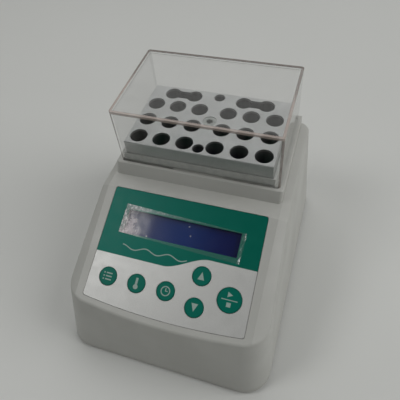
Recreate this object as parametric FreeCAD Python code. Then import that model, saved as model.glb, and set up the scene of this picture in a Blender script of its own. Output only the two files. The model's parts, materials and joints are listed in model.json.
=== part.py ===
import FreeCAD, Part
import math
import os

from FreeCAD import Placement, Rotation, Vector

# Dry block heater for 1.5 mL tubes: a desk-top instrument with a sloping keypad in front, an aluminium
# block standing in a plinth behind it, and a clear lift-off cover over the block.
# Millimetres. +Z up, -Y to the front. Z = 0 is the surface that the rubber feet stand on, and X = 0,
# Y = 0 is the middle of the bounding box.

# ---------------------------------------------------------------- driving dimensions
# Housing
BASE_HALF_W = 67.0          # half width at the bottom edge
BASE_FRONT_Y = -84.0
BASE_Z = 3.0                # bottom edge of the housing, above the floor
REAR_Y = 82.0               # upright back wall
DECK_Z = 74.0               # flat deck round the plinth
TOP_HALF_W = 59.5           # the drafted walls, taken up past the deck
TOP_FRONT_Y = -65.8
TOP_Z = DECK_Z + 2.0
FRONT_CORNER_R = (16.5, 14.0)   # front corners in plan, at the bottom and at TOP_Z
REAR_CORNER_R = (10.0, 5.0)
FRONT_BOW = 4.5             # how far the front edge bulges at the top
SHOULDER_X = 54.5           # where the flat top ends and the rounded shoulder begins
SHOULDER_DROP = (2.6, 17.0)  # fall of the shoulder 6 mm out from there, and at its far end
RIM_R = 2.5                 # rounding where the walls meet the top
WALL = 2.4

# Sloping control panel: s runs down the slope from the top edge of the overlay
PANEL_TILT = 23.3           # degrees
PANEL_TOP_Y = -3.3
PANEL_TOP_Z = 74.0          # outer face of the overlay at its top edge
PANEL_LENGTH = 69.2
PANEL_BOW = 3.0
PANEL_HALF_W_TOP = 48.8
PANEL_HALF_W_BOTTOM = 49.8
PANEL_CORNER_R = 1.6
FLANGE_PROUD = 0.1          # the housing round the overlay stands this much above it
OVERLAY_T = 0.5
SPACER_T = 0.4
CIRCUIT_T = 0.5
RECESS_DEPTH = OVERLAY_T + SPACER_T + CIRCUIT_T
RECESS_GAP = 0.25

# Keys: name, x, s, radius
SMALL_KEY_R = 5.6
LARGE_KEY_R = 7.2
KEYS = (
    ("key_program", -37.2, 55.3, SMALL_KEY_R),
    ("key_temperature", -18.6, 55.3, SMALL_KEY_R),
    ("key_timer", 0.0, 55.3, SMALL_KEY_R),
    ("key_up", 18.7, 42.0, SMALL_KEY_R),
    ("key_down", 18.7, 60.2, SMALL_KEY_R),
    ("key_start_stop", 37.4, 51.2, LARGE_KEY_R),
)
KEY_PROUD = 0.35
KEY_T = 0.8
KEY_GAP = 0.2
TAIL_X = 0.0
TAIL_S = 37.0
TAIL_HALF_W = 7.0

# Display: window in the overlay, and the module behind it
WINDOW_HALF_W = 36.0
WINDOW_S = (12.7, 27.4)
WINDOW_T = 1.2
WINDOW_GAP = 0.1
FILM_T = 0.12
FILM_HALF_W = 38.6
FILM_HALF_H = 9.2
FILM_SKEW = 2.2             # degrees, stuck on a little crooked
LCD_S = 20.5
LCD_BEZEL = (38.0, 13.4)    # half width, half height
LCD_BEZEL_H = (-6.6, -2.6)
LCD_BEZEL_T = 0.5
LCD_VIEW = (36.2, 8.2)       # the bezel's opening, half width and half height
LCD_GLASS_H = -5.2          # underside of the glass, top of the light guide
LCD_BOARD = (40.0, 17.5)
LCD_BOARD_H = (-8.4, -6.8)
LCD_SCREW = (37.5, 15.8)    # where they stand, across and along from the middle
LCD_SCREW_R = 0.9
LCD_SCREW_HEAD = (1.9, 1.2)
LCD_SCREW_END_H = -3.6
LCD_POST_R = 2.2
LCD_POST_HOLE_END_H = -3.2

# Plinth and heating block
PLINTH_TOP_Z = 81.3
PLINTH_HALF_W = 54.0
PLINTH_Y = (11.0, 79.4)
PLINTH_CORNER_R = 2.0
PLINTH_FRONT_SPREAD = 3.6   # how far its foot stands out in front, at deck height
PLINTH_RIM_R = 0.8
BLOCK_HALF_W = 47.0
BLOCK_Y = (15.0, 72.6)
BLOCK_Z = (56.5, 96.5)
WELL_R = 5.55
WELL_X = (9.6, 24.6, 39.6)
WELL_Y = (22.4, 38.05, 53.7)
WELL_DEPTH = 35.0
WELL_TAPER = 12.0           # length of its tapered end
WELL_TIP_R = 2.5
SLOT_Y = 65.7
SLOT_X = (16.9, 31.9)
SLOT_R = 5.3
SLOT_NECK = 3.4             # half width of the waist between two slot lobes
LIFT_HOLE_R = 3.6
LIFT_HOLE_Y = (19.7, 67.7)
LIFT_HOLE_DEPTH = 20.0
BLOCK_SCREW_Y = 44.2
BLOCK_SCREW_HEAD = (4.4, 5.0)   # radius, height
BLOCK_SCREW_R = 2.5
SEAT_HALF_W = 48.6
SEAT_Y = (14.25, 73.8)
SEAT_Z = (74.5, 81.3, 87.1)     # foot of the skirt, shoulder on the plinth, top
SEAT_CLEAR = 0.15
SKIRT_INSET = 0.5
OPENING_GAP = 0.15

# Clear cover
LID_HALF_W = 51.3
LID_X = 0.6                 # the loose cover sits against the right of its play
LID_Y = (12.7, 77.4)
LID_TOP_Z = 121.0
LID_WALL = 1.4
LID_DRAFT = 0.6             # how much smaller the cover is at its top, each side
LID_CORNER_R = 1.5

# Heater stack under the block
PLATE_Z = (52.0, 56.5)
MAT_Z = (50.6, 52.0)
STACK_HALF_W = 46.0
STACK_Y = (16.0, 71.6)
INSULATION_HALF_W = 50.5
INSULATION_Y = (11.6, 76.0)
INSULATION_Z = (45.0, 73.8)
INSULATION_WELL = 0.5       # gap round the block
CARRIER_Z = (43.2, 45.0)
CARRIER_POST = (55.5, (21.0, 66.0))
CUTOUT_POS = (24.0, 50.0)
CUTOUT_R = 7.0
CUTOUT_Z = (34.0, 41.0)         # ends of its tabs, underside of its can
SENSOR_POS = (-24.5, 54.25)     # x and z of the probe in the heater plate
SENSOR_R = 1.5
SENSOR_SLEEVE_Y = 6.0
LEAD_PASS = (-30.0, 40.0)       # where the heater leads leave the stack

# Bottom, board and fasteners
TRAY_Z = (3.6, 6.0)
TRAY_GAP = 0.3
FOOT_R = (5.2, 6.0)
FOOT_X = 50.0
FOOT_Y = (-64.0, 64.0)
POST_R = 4.0
CARRIER_POST_R = 3.5
JOIN_Z = 9.0                # where the tray's bosses meet the housing's posts
HOUSING_SCREWS = ((54.0, -50.0), (56.0, 44.0))
HOUSING_SCREW = (2.9, 2.0, 1.4, 17.0)   # head radius and height, shank radius and length
CARRIER_SCREW = (3.0, 1.8, 1.4, 11.0)
BOARD_SCREW = (2.6, 1.6, 1.1, 8.0)
HOUSING_SCREW_HOLE = (1.5, 16.0)        # radius and depth
CARRIER_SCREW_HOLE = (1.45, 12.0)
BOARD_SCREW_HOLE = (1.15, 8.0)
VENTS = (24.0, 22.0, 2.2, 6.0, 7)       # half width, first y, width, pitch, count
BOARD_Z = (16.0, 17.6)
BOARD_HALF_W = 42.0
BOARD_Y = (-60.0, 8.0)
BOARD_SCREW_INSET = 4.0
TERMINAL_X = ((-40.5, -21.5), (27.0, 40.5))
TERMINAL_Y = (-6.0, 1.0)
TERMINAL_H = 8.0
SOCKET_H = 3.0
RIBBON_HALF_W = 16.0
CAPACITORS = ((5.0, 14.0, 33.0, -22.0), (4.0, 11.0, 33.0, -34.0))   # radius, height, x, y
CHIP = (-24.0, -10.0, -54.0, -40.0, 1.6)            # x, y and height above the board
TRANSISTOR = (-34.5, -24.5, -30.0, -25.5, 15.0)
SINK_BACK = (-38.0, -21.0, -25.5, -23.0, 20.0)
SINK_FIN = (1.4, 4.0, 8.0, 5)                       # thickness, pitch, length, count
BUZZER = (6.0, 7.5, 12.0, -48.0)                    # radius, height, x, y
LEAD_R = 0.9
LEAD_PAIR = 1.3             # half the spacing of two leads side by side
BEND_R = 6.0

# Back panel fittings
INLET_X = -34.0
INLET_Z = 24.0
INLET_BARREL_R = 5.4
INLET_BORE_R = 3.2
INLET_PIN_R = 1.0
INLET_FACE_Y = 84.0
INLET_BACK_Y = 68.0
NUT_R = 7.4
SWITCH_X = 34.0
SWITCH_Z = 24.0
SWITCH_BODY = (9.3, 6.3)    # half width, half height inside the wall
SWITCH_BEZEL = (10.8, 7.6)
SWITCH_BEZEL_T = 1.4
SWITCH_BACK_Y = 68.0
SWITCH_TAB = 8.0
ROCKER = (7.3, 4.9)
ROCKER_PIVOT_Y = 79.0
ROCKER_SINK = 1.65          # the middle of its face, below the bezel's front
ROCKER_TILT = 9.0           # degrees from level; it rests in the off position
PIVOT_R = 1.0
PIVOT_GAP = 0.1
PIVOT_REACH = (0.8, 1.0)    # the pins past the rocker's ends, and their holes


# ---------------------------------------------------------------- shared shapes
def box(x0, x1, y0, y1, z0, z1):
    return Part.makeBox(x1 - x0, y1 - y0, z1 - z0, Vector(x0, y0, z0))


def cylinder(r, h, x, y, z, axis=Vector(0, 0, 1)):
    return Part.makeCylinder(r, h, Vector(x, y, z), axis)


def cut_all(shape, tools):
    return shape.cut(Part.Compound(tools))


def fuse_all(shapes):
    joined = shapes[0].multiFuse(shapes[1:])
    return joined.removeSplitter()


def arc(p, q, r):
    return Part.Arc(p, q, r).toShape()


def line(p, q):
    return Part.LineSegment(p, q).toShape()


def corner_mid(centre_x, centre_y, r, angle, z):
    """Middle point of a corner arc, at the angle given in degrees."""
    a = math.radians(angle)
    return Vector(centre_x + r * math.cos(a), centre_y + r * math.sin(a), z)


def outline(half_w, y_front, y_rear, r, rear_r, z, bow=0.05):
    """Closed plan outline with rounded corners and a front edge that bulges by bow."""
    x1 = half_w - r
    x2 = half_w - rear_r
    y0 = y_front + bow + r
    y1 = y_rear - rear_r
    edges = [
        arc(Vector(-half_w, y1, z), corner_mid(-x2, y1, rear_r, 135, z), Vector(-x2, y_rear, z)),
        line(Vector(-x2, y_rear, z), Vector(x2, y_rear, z)),
        arc(Vector(x2, y_rear, z), corner_mid(x2, y1, rear_r, 45, z), Vector(half_w, y1, z)),
        line(Vector(half_w, y1, z), Vector(half_w, y0, z)),
        arc(Vector(half_w, y0, z), corner_mid(x1, y0, r, -45, z), Vector(x1, y0 - r, z)),
        arc(Vector(x1, y0 - r, z), Vector(0, y_front, z), Vector(-x1, y0 - r, z)),
        arc(Vector(-x1, y0 - r, z), corner_mid(-x1, y0, r, -135, z), Vector(-half_w, y0, z)),
        line(Vector(-half_w, y0, z), Vector(-half_w, y1, z)),
    ]
    return Part.Wire(edges)


def rounded_box(half_w, y0, y1, z0, z1, r):
    """Upright block with rounded vertical corners."""
    face = Part.Face(outline(half_w, y0, y1, r, r, z0, 0.001))
    return face.extrude(Vector(0, 0, z1 - z0))


def tapered_box(half_w, y0, y1, z0, z1, r, spread_low):
    """Upright block with rounded corners, wider at the bottom by spread_low on every side."""
    low_r = r + spread_low
    low = outline(half_w + spread_low, y0 - spread_low, y1 + spread_low, low_r, low_r, z0)
    high = outline(half_w, y0, y1, r, r, z1)
    return Part.makeLoft([low, high], True, True)


# ---------------------------------------------------------------- the sloping panel's own frame
def panel_placement(s, height):
    """Frame at distance s down the panel and height above the overlay's face.

    X stays along the instrument's X, Y points up the slope and Z along the outward normal.
    """
    t = math.radians(PANEL_TILT)
    y = PANEL_TOP_Y - s * math.cos(t) - height * math.sin(t)
    z = PANEL_TOP_Z - s * math.sin(t) + height * math.cos(t)
    return Placement(Vector(0, y, z), Rotation(Vector(1, 0, 0), PANEL_TILT))


def on_panel(shape, s, height=0.0):
    shape.Placement = panel_placement(s, height).multiply(shape.Placement)
    return shape


def panel_outline(gap):
    """The overlay's outline, grown by gap, in the panel's frame with its top edge at Y = 0."""
    top_w = PANEL_HALF_W_TOP + gap
    low_w = PANEL_HALF_W_BOTTOM + gap
    low = -PANEL_LENGTH - gap
    r = PANEL_CORNER_R
    pts = (Vector(-top_w, gap, 0), Vector(top_w, gap, 0), Vector(low_w, low, 0), Vector(-low_w, low, 0))
    wire = Part.Wire([
        line(pts[0], pts[1]),
        line(pts[1], pts[2]),
        arc(pts[2], Vector(0, low - PANEL_BOW, 0), pts[3]),
        line(pts[3], pts[0]),
    ])
    slab = Part.Face(wire).extrude(Vector(0, 0, 1))
    upright = [e for e in slab.Edges if abs(e.BoundBox.ZLength - 1) < 1e-6 and e.BoundBox.XLength < 1e-6]
    rounded = slab.makeFillet(r, upright)
    return [f for f in rounded.Faces if f.BoundBox.ZLength < 1e-6 and f.BoundBox.ZMin < 0.5][0]


def panel_sheet(gap, low, high):
    """A sheet with the overlay's outline, between two heights over the overlay's face."""
    sheet = panel_outline(gap).extrude(Vector(0, 0, high - low))
    return on_panel(sheet, 0, low)


def panel_box(half_w, s0, s1, low, high, x=0.0):
    return on_panel(box(x - half_w, x + half_w, -(s1 - s0), 0, 0, high - low), s0, low)


def panel_cylinder(r, x, s, low, high):
    return on_panel(cylinder(r, high - low, x, 0, 0), s, low)


# ---------------------------------------------------------------- housing
def roof_section(drop):
    """Cross-section of the top: flat, with curved shoulders that fall away to the sides."""
    x0 = SHOULDER_X - drop
    far = BASE_HALF_W + 6
    deep = -160
    middle, end = SHOULDER_DROP
    left = (Vector(-far, 0, deep), Vector(-far, 0, -end - drop),
            Vector(-x0 - 6, 0, -middle - drop), Vector(-x0, 0, -drop))
    right = [Vector(-p.x, 0, p.z) for p in reversed(left)]
    edges = [
        line(left[0], left[1]),
        arc(left[1], left[2], left[3]),
        line(left[3], right[0]),
        arc(right[0], right[1], right[2]),
        line(right[2], right[3]),
        line(right[3], left[0]),
    ]
    return Part.Face(Part.Wire(edges))


def housing_form(inset):
    """Outer form of the housing without the plinth, shrunk by inset for its hollow."""
    low_r, high_r = [r - inset for r in FRONT_CORNER_R]
    low_rear_r, high_rear_r = [r - inset for r in REAR_CORNER_R]
    low = outline(BASE_HALF_W - inset, BASE_FRONT_Y + inset, REAR_Y - inset, low_r, low_rear_r, BASE_Z)
    high = outline(TOP_HALF_W - inset, TOP_FRONT_Y + inset, REAR_Y - inset, high_r, high_rear_r, TOP_Z,
                   FRONT_BOW)
    walls = Part.makeLoft([low, high], True, True)
    section = roof_section(inset)
    deck = section.copy()
    deck.translate(Vector(0, -150, DECK_Z))
    deck = deck.extrude(Vector(0, 300, 0))
    slope = section.copy()
    slope.translate(Vector(0, -200, 0))
    slope = on_panel(slope.extrude(Vector(0, 300, 0)), 0, FLANGE_PROUD)
    return walls.common(deck).common(slope)


def plinth_plan(inset, z):
    """The plinth's plan at one height, as a wire with its front corners still sharp."""
    fall = (PLINTH_TOP_Z - z) / (PLINTH_TOP_Z - DECK_Z)
    half_w = PLINTH_HALF_W - inset
    front = PLINTH_Y[0] + inset - fall * PLINTH_FRONT_SPREAD
    back = min(PLINTH_Y[1] + fall * (REAR_Y - PLINTH_Y[1]), REAR_Y) - inset
    corners = [Vector(x, y, z) for x, y in
               ((-half_w, front), (half_w, front), (half_w, back), (-half_w, back), (-half_w, front))]
    return Part.makePolygon(corners)


def plinth_form(inset, z0, z1):
    """The raised plinth from z0 up to z1, with upright sides and a front that leans back."""
    whole = Part.makeLoft([plinth_plan(inset, z0), plinth_plan(inset, z1)], True, True)
    front_corners = [e for e in whole.Edges
                     if e.BoundBox.ZLength > 1 and e.BoundBox.YMax < PLINTH_Y[0] + inset + 0.01]
    return whole.makeFillet(PLINTH_CORNER_R, front_corners)


def rim_edges(form):
    """Edges where the walls meet the top: not the bottom outline, the creases or the bend of the deck."""
    rim = []
    for edge in form.Edges:
        b = edge.BoundBox
        at_bottom = b.ZMin < BASE_Z + 0.01
        crease = b.XLength < 0.01 and abs(abs(b.Center.x) - SHOULDER_X) < 0.01
        bend = PANEL_TOP_Y - 1.5 < b.YMin and b.YMax < 0
        if not (at_bottom or crease or bend):
            rim.append(edge)
    return rim


def housing_outside():
    form = housing_form(0)
    form = form.makeFillet(RIM_R, rim_edges(form))
    plinth = plinth_form(0, DECK_Z - 4, PLINTH_TOP_Z)
    top_edges = [e for e in plinth.Edges if e.BoundBox.ZMin > PLINTH_TOP_Z - 0.01]
    plinth = plinth.makeFillet(PLINTH_RIM_R, top_edges)
    return form.fuse(plinth)


def four_corners(x, ys):
    """Positions mirrored left and right at each of two depths."""
    return [(side * x, y) for side in (-1, 1) for y in ys]


def housing_screw_positions():
    return [(side * x, y) for side in (-1, 1) for x, y in HOUSING_SCREWS]


def lcd_screw_positions():
    """Across and down the panel."""
    x, half = LCD_SCREW
    return [(side * x, LCD_S + along) for side in (-1, 1) for along in (-half, half)]


def housing_posts():
    """Screw posts that hang from the top. They reach up past it, and are trimmed to the outside later."""
    posts = [cylinder(POST_R, DECK_Z - JOIN_Z, x, y, JOIN_Z) for x, y in housing_screw_positions()]
    posts += [cylinder(CARRIER_POST_R, DECK_Z - CARRIER_Z[1], x, y, CARRIER_Z[1])
              for x, y in four_corners(*CARRIER_POST)]
    posts += [panel_cylinder(LCD_POST_R, x, s, LCD_BOARD_H[1], -RECESS_DEPTH)
              for x, s in lcd_screw_positions()]
    return posts


def housing_post_holes():
    holes = [cylinder(*HOUSING_SCREW_HOLE, x, y, JOIN_Z) for x, y in housing_screw_positions()]
    holes += [cylinder(*CARRIER_SCREW_HOLE, x, y, CARRIER_Z[1]) for x, y in four_corners(*CARRIER_POST)]
    holes += [panel_cylinder(LCD_SCREW_R + 0.05, x, s, LCD_BOARD_H[1], LCD_POST_HOLE_END_H)
              for x, s in lcd_screw_positions()]
    return holes


def upper_housing():
    hollow = housing_form(WALL).fuse(plinth_form(WALL, DECK_Z - 4, PLINTH_TOP_Z - WALL))
    outside = housing_outside()
    shell = outside.cut(hollow)
    trimmed = [post.common(outside) for post in housing_posts()]
    shell = fuse_all([shell] + trimmed)
    inset = SKIRT_INSET - OPENING_GAP
    seat_hole = box(inset - SEAT_HALF_W, SEAT_HALF_W - inset, SEAT_Y[0] + inset, SEAT_Y[1] - inset,
                    SEAT_Z[0] - 1, PLINTH_TOP_Z + 1)
    recess = panel_sheet(RECESS_GAP, -RECESS_DEPTH, 2)
    display_hole = panel_box(WINDOW_HALF_W + 1, WINDOW_S[0] - 1, WINDOW_S[1] + 1, -WALL - 1, 0)
    tail_slot = panel_box(TAIL_HALF_W + 1, TAIL_S - 1.2, TAIL_S + 1.2, -WALL - 2, 0, TAIL_X)
    inlet_hole = cylinder(INLET_BARREL_R + 0.1, 10, INLET_X, REAR_Y - 6, INLET_Z, Vector(0, 1, 0))
    hw, hh = SWITCH_BODY
    switch_hole = box(SWITCH_X - hw - 0.2, SWITCH_X + hw + 0.2, REAR_Y - 6, REAR_Y + 2,
                      SWITCH_Z - hh - 0.2, SWITCH_Z + hh + 0.2)
    tools = [seat_hole, recess, display_hole, tail_slot, inlet_hole, switch_hole]
    return cut_all(shell, tools + housing_post_holes())


def base_tray():
    plate = housing_form(WALL + TRAY_GAP).common(box(-100, 100, -100, 100, *TRAY_Z))
    bosses = [cylinder(POST_R + 1, JOIN_Z - TRAY_Z[0], x, y, TRAY_Z[0])
              for x, y in housing_screw_positions()]
    stands = [cylinder(3, BOARD_Z[0] - TRAY_Z[0], x, y, TRAY_Z[0]) for x, y in board_screw_positions()]
    tray = fuse_all([plate] + bosses + stands)
    head_r, head_h, shank_r, length = HOUSING_SCREW
    tools = []
    for x, y in housing_screw_positions():
        tools.append(cylinder(head_r + 0.3, head_h + 0.6, x, y, TRAY_Z[0]))
        tools.append(cylinder(shank_r + 0.3, length, x, y, TRAY_Z[0]))
    r, depth = BOARD_SCREW_HOLE
    tools += [cylinder(r, depth, x, y, BOARD_Z[0] - depth) for x, y in board_screw_positions()]
    half_w, first, width, pitch, count = VENTS
    for row in range(count):
        y = first + pitch * row
        tools.append(box(-half_w, half_w, y, y + width, TRAY_Z[0] - 1, TRAY_Z[1] + 1))
    return cut_all(tray, tools)


def rubber_feet():
    low, high = FOOT_R
    return [Part.makeCone(low, high, TRAY_Z[0], Vector(x, y, 0)) for x, y in four_corners(FOOT_X, FOOT_Y)]


def screw(head_r, head_h, shank_r, length, x, y, z, up=1):
    """Pan-head screw: its head starts at z and its shank follows, upwards or downwards."""
    axis = Vector(0, 0, up)
    head = cylinder(head_r, head_h, x, y, z, axis)
    socket = cylinder(head_r * 0.4, head_h * 0.5, x, y, z, axis)
    shank = cylinder(shank_r, length, x, y, z + up * head_h, axis)
    return head.cut(socket).fuse(shank)


def housing_screws():
    return [screw(*HOUSING_SCREW, x, y, TRAY_Z[0] + 0.6) for x, y in housing_screw_positions()]


# ---------------------------------------------------------------- control panel
def window_hole(gap, low, high):
    return panel_box(WINDOW_HALF_W + gap, WINDOW_S[0] - gap, WINDOW_S[1] + gap, low, high)


def panel_layer(gap, low, high, key_gap, window_gap):
    sheet = panel_sheet(gap, low, high)
    tools = [window_hole(window_gap, low - 1, high + 1)]
    tools += [panel_cylinder(r + key_gap, x, s, low - 1, high + 1) for name, x, s, r in KEYS]
    return cut_all(sheet, tools)


def control_overlay():
    return panel_layer(0, -OVERLAY_T, 0, KEY_GAP, 0)


def keypad_spacer():
    return panel_layer(-0.3, -OVERLAY_T - SPACER_T, -OVERLAY_T, KEY_GAP + 0.2, 0.4)


def keypad_circuit():
    low = -RECESS_DEPTH
    sheet = panel_sheet(-0.3, low, low + CIRCUIT_T)
    tools = [window_hole(0.4, low - 1, 0)]
    return cut_all(sheet, tools)


def key_cap(x, s, r):
    """Domed key disc: its rim is chamfered where it stands above the overlay."""
    cap = cylinder(r, KEY_T, 0, 0, 0)
    rim = [e for e in cap.Edges if e.BoundBox.ZMin > KEY_T - 0.01 and e.BoundBox.XLength > r]
    cap = cap.makeChamfer(KEY_PROUD * 0.6, rim)
    cap.translate(Vector(x, 0, 0))
    return on_panel(cap, s, KEY_PROUD - KEY_T)


def display_window():
    g = WINDOW_GAP
    return panel_box(WINDOW_HALF_W - g, WINDOW_S[0] + g, WINDOW_S[1] - g, -WINDOW_T - 0.05, -0.05)


def display_film():
    film = box(-FILM_HALF_W, FILM_HALF_W, -FILM_HALF_H, FILM_HALF_H, 0, FILM_T)
    film.rotate(Vector(0, 0, 0), Vector(0, 0, 1), -FILM_SKEW)
    return on_panel(film, (WINDOW_S[0] + WINDOW_S[1]) / 2, 0.01)


def keypad_tail():
    """Flexible tail that leaves the circuit's underside and hangs straight down to its connector."""
    top = tail_top()
    half_t = 0.15
    return box(TAIL_X - TAIL_HALF_W, TAIL_X + TAIL_HALF_W, top.y - half_t, top.y + half_t,
               socket_top(), top.z - 0.2)


# ---------------------------------------------------------------- display module
def lcd_box(half_w, half_h, low, high):
    return panel_box(half_w, LCD_S - half_h, LCD_S + half_h, low, high)


def lcd_bezel():
    half_w, half_h = LCD_BEZEL
    low, high = LCD_BEZEL_H
    t = LCD_BEZEL_T
    can = lcd_box(half_w, half_h, low, high)
    view = lcd_box(*LCD_VIEW, low, high + 1)
    return cut_all(can, [lcd_box(half_w - t, half_h - t, low - 1, high - t), view])


def lcd_glass():
    return lcd_box(LCD_BEZEL[0] - 1, LCD_BEZEL[1] - 1, LCD_GLASS_H, LCD_BEZEL_H[1] - LCD_BEZEL_T)


def lcd_backlight():
    return lcd_box(LCD_BEZEL[0] - 1, LCD_BEZEL[1] - 1, LCD_BOARD_H[1], LCD_GLASS_H)


def lcd_board():
    board = lcd_box(LCD_BOARD[0], LCD_BOARD[1], *LCD_BOARD_H)
    return cut_all(board, [panel_cylinder(1.2, x, s, -12, 0) for x, s in lcd_screw_positions()])


def lcd_screws():
    head_r, head_h = LCD_SCREW_HEAD
    screws = []
    for x, s in lcd_screw_positions():
        head = panel_cylinder(head_r, x, s, LCD_BOARD_H[0] - head_h, LCD_BOARD_H[0])
        shank = panel_cylinder(LCD_SCREW_R, x, s, LCD_BOARD_H[0] - head_h / 2, LCD_SCREW_END_H)
        screws.append(head.fuse(shank))
    return screws


# ---------------------------------------------------------------- heating block and what carries it
def slot_cutter(side, z0, depth):
    near, far = (side * x for x in SLOT_X)
    neck = box(min(near, far), max(near, far), SLOT_Y - SLOT_NECK, SLOT_Y + SLOT_NECK, z0, z0 + depth)
    lobes = [cylinder(SLOT_R, depth, x, SLOT_Y, z0) for x in (near, far)]
    return fuse_all([neck] + lobes)


def well(x, y):
    """Well with a tapered end for a conical tube."""
    bottom = BLOCK_Z[1] - WELL_DEPTH
    straight = cylinder(WELL_R, WELL_DEPTH - WELL_TAPER + 1, x, y, bottom + WELL_TAPER)
    tip = Part.makeCone(WELL_TIP_R, WELL_R, WELL_TAPER, Vector(x, y, bottom))
    return straight.fuse(tip)


def heating_block():
    block = box(-BLOCK_HALF_W, BLOCK_HALF_W, BLOCK_Y[0], BLOCK_Y[1], BLOCK_Z[0], BLOCK_Z[1])
    outer = [e for e in block.Edges if e.BoundBox.ZMax > BLOCK_Z[1] - 0.01]
    block = block.makeChamfer(0.4, outer)
    top = BLOCK_Z[1]
    tools = [well(side * x, y) for side in (-1, 1) for x in WELL_X for y in WELL_Y]
    tools += [slot_cutter(side, top - WELL_DEPTH, WELL_DEPTH + 1) for side in (-1, 1)]
    tools += [cylinder(LIFT_HOLE_R, LIFT_HOLE_DEPTH + 1, 0, y, top - LIFT_HOLE_DEPTH) for y in LIFT_HOLE_Y]
    head_r, head_h = BLOCK_SCREW_HEAD
    tools.append(cylinder(head_r + 0.15, head_h + 1, 0, BLOCK_SCREW_Y, top - head_h))
    tools.append(cylinder(BLOCK_SCREW_R + 0.1, 60, 0, BLOCK_SCREW_Y, BLOCK_Z[0] - 1))
    return cut_all(block, tools)


def block_screw():
    head_r, head_h = BLOCK_SCREW_HEAD
    seat = BLOCK_Z[1] - head_h
    head = cylinder(head_r, head_h - 0.2, 0, BLOCK_SCREW_Y, seat)
    corners = [Vector(2.3 * math.cos(a), 2.3 * math.sin(a) + BLOCK_SCREW_Y, seat + 2.4)
               for a in (math.radians(60 * k) for k in range(7))]
    socket = Part.Face(Part.makePolygon(corners)).extrude(Vector(0, 0, 4))
    shank = cylinder(BLOCK_SCREW_R, seat - PLATE_Z[0] - 1, 0, BLOCK_SCREW_Y, PLATE_Z[0] + 1)
    return head.cut(socket).fuse(shank)


def seat_frame():
    foot, shoulder, top = SEAT_Z
    outer = rounded_box(SEAT_HALF_W, SEAT_Y[0], SEAT_Y[1], shoulder, top, 1.0)
    i = SKIRT_INSET
    skirt = box(-SEAT_HALF_W + i, SEAT_HALF_W - i, SEAT_Y[0] + i, SEAT_Y[1] - i, foot, shoulder)
    c = SEAT_CLEAR
    hollow = box(-BLOCK_HALF_W - c, BLOCK_HALF_W + c, BLOCK_Y[0] - c, BLOCK_Y[1] + c, foot - 1, top + 1)
    return outer.fuse(skirt).cut(hollow)


def stack_plate(z0, z1, screw_hole_r):
    plate = box(-STACK_HALF_W, STACK_HALF_W, STACK_Y[0], STACK_Y[1], z0, z1)
    return plate.cut(cylinder(screw_hole_r, 20, 0, BLOCK_SCREW_Y, z0 - 1))


def heater_plate():
    x, z = SENSOR_POS
    probe_hole = cylinder(SENSOR_R + 0.1, 22, x, STACK_Y[0] - 1, z, Vector(0, 1, 0))
    return stack_plate(PLATE_Z[0], PLATE_Z[1], BLOCK_SCREW_R + 0.05).cut(probe_hole)


def heater_mat():
    return stack_plate(MAT_Z[0], MAT_Z[1], 6.0)


def heater_insulation():
    z0, z1 = INSULATION_Z
    tub = box(-INSULATION_HALF_W, INSULATION_HALF_W, INSULATION_Y[0], INSULATION_Y[1], z0, z1)
    g = INSULATION_WELL
    well_box = box(-BLOCK_HALF_W - g, BLOCK_HALF_W + g, BLOCK_Y[0] - g, BLOCK_Y[1] + g, MAT_Z[0], z1 + 1)
    x, z = SENSOR_POS
    probe_way = cylinder(SENSOR_R + 0.5, 8, x, INSULATION_Y[0] - 1, z, Vector(0, 1, 0))
    return cut_all(tub, [well_box, probe_way] + stack_passages())


def stack_passages():
    """Round ways down through the insulation and the carrier, for the cut-out and the heater leads."""
    cutout = cylinder(CUTOUT_R + 0.3, 20, CUTOUT_POS[0], CUTOUT_POS[1], CARRIER_Z[0] - 5)
    leads = cylinder(4.0, 20, LEAD_PASS[0], LEAD_PASS[1], CARRIER_Z[0] - 5)
    return [cutout, leads]


def heater_carrier():
    z0, z1 = CARRIER_Z
    tray = box(-INSULATION_HALF_W, INSULATION_HALF_W, INSULATION_Y[0], INSULATION_Y[1], z0, z1)
    x, ys = CARRIER_POST
    ears = [box(-x - 4, x + 4, y - 6, y + 6, z0, z1) for y in ys]
    holes = [cylinder(CARRIER_SCREW[2] + 0.4, 10, px, py, z0 - 1) for px, py in four_corners(x, ys)]
    return cut_all(fuse_all([tray] + ears), holes + stack_passages())


def carrier_screws():
    head_h = CARRIER_SCREW[1]
    return [screw(*CARRIER_SCREW, x, y, CARRIER_Z[0] - head_h) for x, y in four_corners(*CARRIER_POST)]


def temperature_sensor():
    x, z = SENSOR_POS
    probe = cylinder(SENSOR_R, 27, x, SENSOR_SLEEVE_Y + 3, z, Vector(0, 1, 0))
    sleeve = cylinder(SENSOR_R + 0.6, 3, x, SENSOR_SLEEVE_Y, z, Vector(0, 1, 0))
    return probe.fuse(sleeve)


def thermal_cutout():
    x, y = CUTOUT_POS
    tab_end, can_low = CUTOUT_Z
    can = cylinder(CUTOUT_R, MAT_Z[0] - can_low, x, y, can_low)
    tabs = [box(tx - 1.5, tx + 1.5, y - 0.4, y + 0.4, tab_end, can_low) for tx in (x - 4, x + 4)]
    return fuse_all([can] + tabs)


# ---------------------------------------------------------------- main board
def board_screw_positions():
    x = BOARD_HALF_W - BOARD_SCREW_INSET
    i = BOARD_SCREW_INSET
    return four_corners(x, (BOARD_Y[0] + i, BOARD_Y[1] - i))


def on_board(x0, x1, y0, y1, height):
    return box(x0, x1, y0, y1, BOARD_Z[1], BOARD_Z[1] + height)


def main_board():
    board = box(-BOARD_HALF_W, BOARD_HALF_W, BOARD_Y[0], BOARD_Y[1], BOARD_Z[0], BOARD_Z[1])
    return cut_all(board, [cylinder(1.6, 5, x, y, BOARD_Z[0] - 1) for x, y in board_screw_positions()])


def board_screws():
    head_h = BOARD_SCREW[1]
    return [screw(*BOARD_SCREW, x, y, BOARD_Z[1] + head_h, -1) for x, y in board_screw_positions()]


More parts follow.
